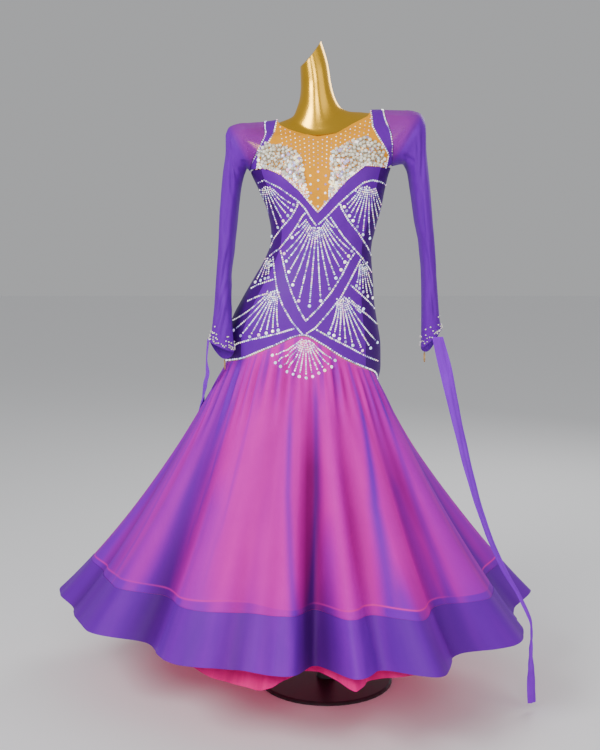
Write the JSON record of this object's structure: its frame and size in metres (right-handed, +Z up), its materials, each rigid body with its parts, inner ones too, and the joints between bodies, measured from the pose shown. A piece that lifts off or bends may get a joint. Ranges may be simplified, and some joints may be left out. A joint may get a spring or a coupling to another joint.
{
  "type": "ballroom dance dress on a limbless dress form",
  "caption": "Long-sleeved ballroom dance dress with a beaded bodice, a full layered skirt and wrist floats, standing on a gold limbless dress form with a pole and a round base",
  "frame": {"origin": "the centre of the round base's underside, on the floor", "axes": "+Z up; the dress's front faces -Y; the wearer's left is +X"},
  "size_m": [1.1949, 1.0792, 1.5573],
  "materials": {
    "form": "polished gold foil",
    "stand": "dark satin paint",
    "mesh": "skin-tone stretch mesh",
    "satin": "purple stretch satin",
    "sheer": "sheer purple stretch mesh",
    "pearl": "ivory pearl beads",
    "elastic": "gold elastic cord",
    "chiffon": "purple chiffon over pink",
    "band": "doubled purple chiffon",
    "pink": "bright pink lining",
    "net": "rose petticoat net"
  },
  "bodies": {
    "root": {"stand_base": "stand", "stand_pole": "stand", "form_torso": "form", "yoke_front": "mesh", "bodice_front": "satin", "bodice_side_left": "satin", "bodice_side_right": "satin", "bodice_back_left": "satin", "bodice_back_right": "satin", "strap_left": "satin", "strap_right": "satin", "bust_beads_left": "pearl", "bust_beads_right": "pearl", "sleeve_left": "sheer", "sleeve_right": "sheer", "finger_loop_left": "elastic", "finger_loop_right": "elastic", "skirt_outer": "chiffon", "hem_band": "band", "skirt_inner": "pink", "petticoat": "net", "float_left": "sheer", "float_right": "sheer"}
  },
  "joints": []
}
